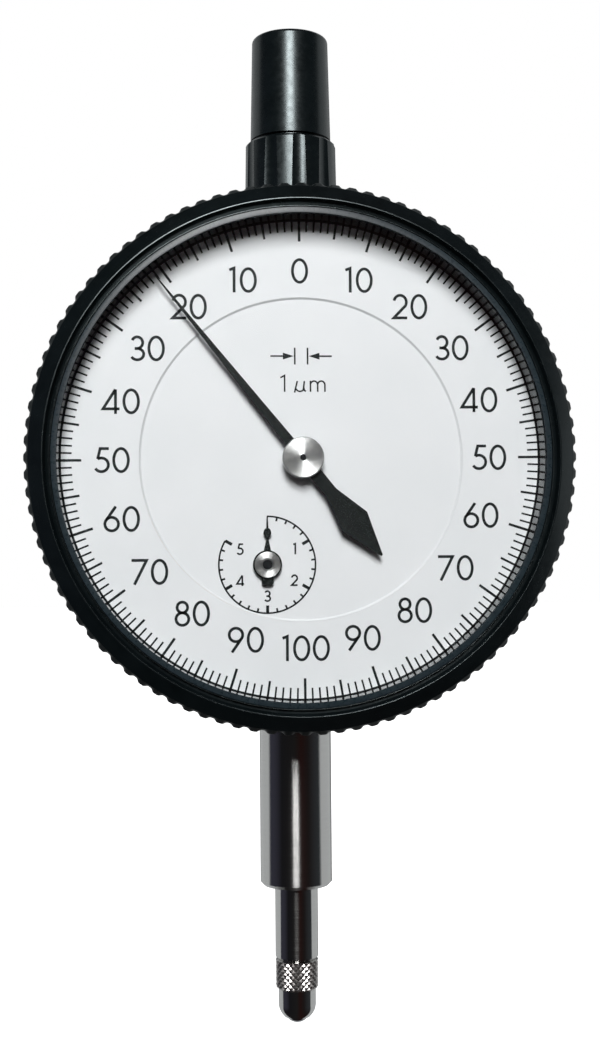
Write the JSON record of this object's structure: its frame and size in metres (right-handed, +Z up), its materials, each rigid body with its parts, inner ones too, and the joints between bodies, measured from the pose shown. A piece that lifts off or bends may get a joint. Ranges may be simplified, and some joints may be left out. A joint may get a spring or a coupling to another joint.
{
  "type": "dial indicator",
  "caption": "Plunger dial indicator with a turning scalloped bezel, a main pointer, a small turn counter, a clamping stem and a sprung spindle with a ball contact.",
  "frame": {"origin": "on the stem's axis, in the middle of its clamping length", "axes": "+Z up along the stem and spindle, from the contact point towards the cap; the dial faces -Y; +X is to the dial's right"},
  "size_m": [0.057, 0.0246, 0.1108],
  "materials": {
    "bezel_plastic": "moulded black, satin gloss",
    "black_plastic": "moulded black, satin gloss",
    "black_paint": "black enamel on die-cast aluminium",
    "crystal": "clear acrylic",
    "dial_white": "satin white lacquer",
    "pointer_black": "fine textured black",
    "turned_metal": "face-turned",
    "polished_steel": "ground and polished",
    "spring_steel": "drawn",
    "bronze": "reamed bearing bronze",
    "brass": "brushed",
    "ruby": "polished synthetic ruby",
    "carbide": "lapped carbide",
    "seal_rubber": "matte"
  },
  "bodies": {
    "case": {"case_housing": "black_paint", "stem": "polished_steel", "lower_bush": "bronze", "upper_bush": "bronze", "cap_collar": "black_plastic", "spindle_cap": "black_plastic", "back_cover": "black_paint", "back_gasket": "seal_rubber", "back_cover_screws": "polished_steel", "rear_plate": "brass", "middle_plate": "brass", "front_plate": "brass", "rear_pillars": "brass", "front_pillars": "brass", "movement_screws": "polished_steel", "pivot_jewels": "ruby", "counter_bush": "brass", "dial_disc": "dial_white", "guide_rail": "polished_steel", "guide_rail_screws": "polished_steel", "spring_anchor": "polished_steel", "return_spring": "spring_steel", "buffer_washer": "seal_rubber", "hairspring": "spring_steel", "hairspring_stud": "brass"},
    "bezel": {"bezel": "bezel_plastic", "crystal": "crystal", "dial_ring": "dial_white", "dial_retainer": "black_plastic", "bezel_snap_ring": "spring_steel"},
    "spindle": {"spindle": "polished_steel", "stop_ring": "polished_steel", "guide_pin": "polished_steel", "contact_point": "polished_steel", "contact_ball": "carbide"},
    "first_gear": {"first_arbor": "polished_steel", "first_wheel": "brass"},
    "second_gear": {"second_arbor": "polished_steel", "second_wheel": "brass"},
    "pointer": {"centre_arbor": "polished_steel", "pointer": "pointer_black", "pointer_hub": "turned_metal"},
    "counter": {"counter_arbor": "polished_steel", "counter_wheel": "brass", "counter_pointer": "pointer_black", "counter_hub": "turned_metal"},
    "takeup": {"takeup_arbor": "polished_steel", "takeup_wheel": "brass", "hairspring_collet": "brass"}
  },
  "joints": [
    {"name": "spindle_travel", "type": "slide", "parent": "case", "child": "spindle", "axis": [0, 0, 1], "range_m": [0, 0.0051], "stiffness_N_per_m": 60, "springref_m": -0.02, "deforming": ["return_spring"]},
    {"name": "bezel_turn", "type": "hinge", "parent": "case", "child": "bezel", "pos_m": [0, 0, 0.0371], "axis": [0, 1, 0], "continuous": true},
    {"name": "first_gear_turn", "type": "hinge", "parent": "case", "child": "first_gear", "pos_m": [0.00289, 0, 0.03701], "axis": [0, 1, 0], "range_deg": [0, 183.6]},
    {"name": "second_gear_turn", "type": "hinge", "parent": "case", "child": "second_gear", "pos_m": [-0.00672, 0, 0.02983], "axis": [0, 1, 0], "range_deg": [-918, 0]},
    {"name": "pointer_turn", "type": "hinge", "parent": "case", "child": "pointer", "pos_m": [0, 0, 0.0371], "axis": [0, 1, 0], "range_deg": [0, 9180]},
    {"name": "counter_turn", "type": "hinge", "parent": "case", "child": "counter", "pos_m": [-0.0037, 0, 0.0261], "axis": [0, 1, 0], "range_deg": [0, 306]},
    {"name": "takeup_turn", "type": "hinge", "parent": "case", "child": "takeup", "pos_m": [0.00611, 0, 0.0437], "axis": [0, 1, 0], "range_deg": [-1020, 0]}
  ],
  "couplings": [
    {"joint": "first_gear_turn", "follows": "spindle_travel", "rad_per_m": 628.32},
    {"joint": "second_gear_turn", "follows": "spindle_travel", "rad_per_m": -3141.6},
    {"joint": "pointer_turn", "follows": "spindle_travel", "rad_per_m": 31416},
    {"joint": "counter_turn", "follows": "spindle_travel", "rad_per_m": 1047.2},
    {"joint": "takeup_turn", "follows": "spindle_travel", "rad_per_m": -3490.7}
  ]
}
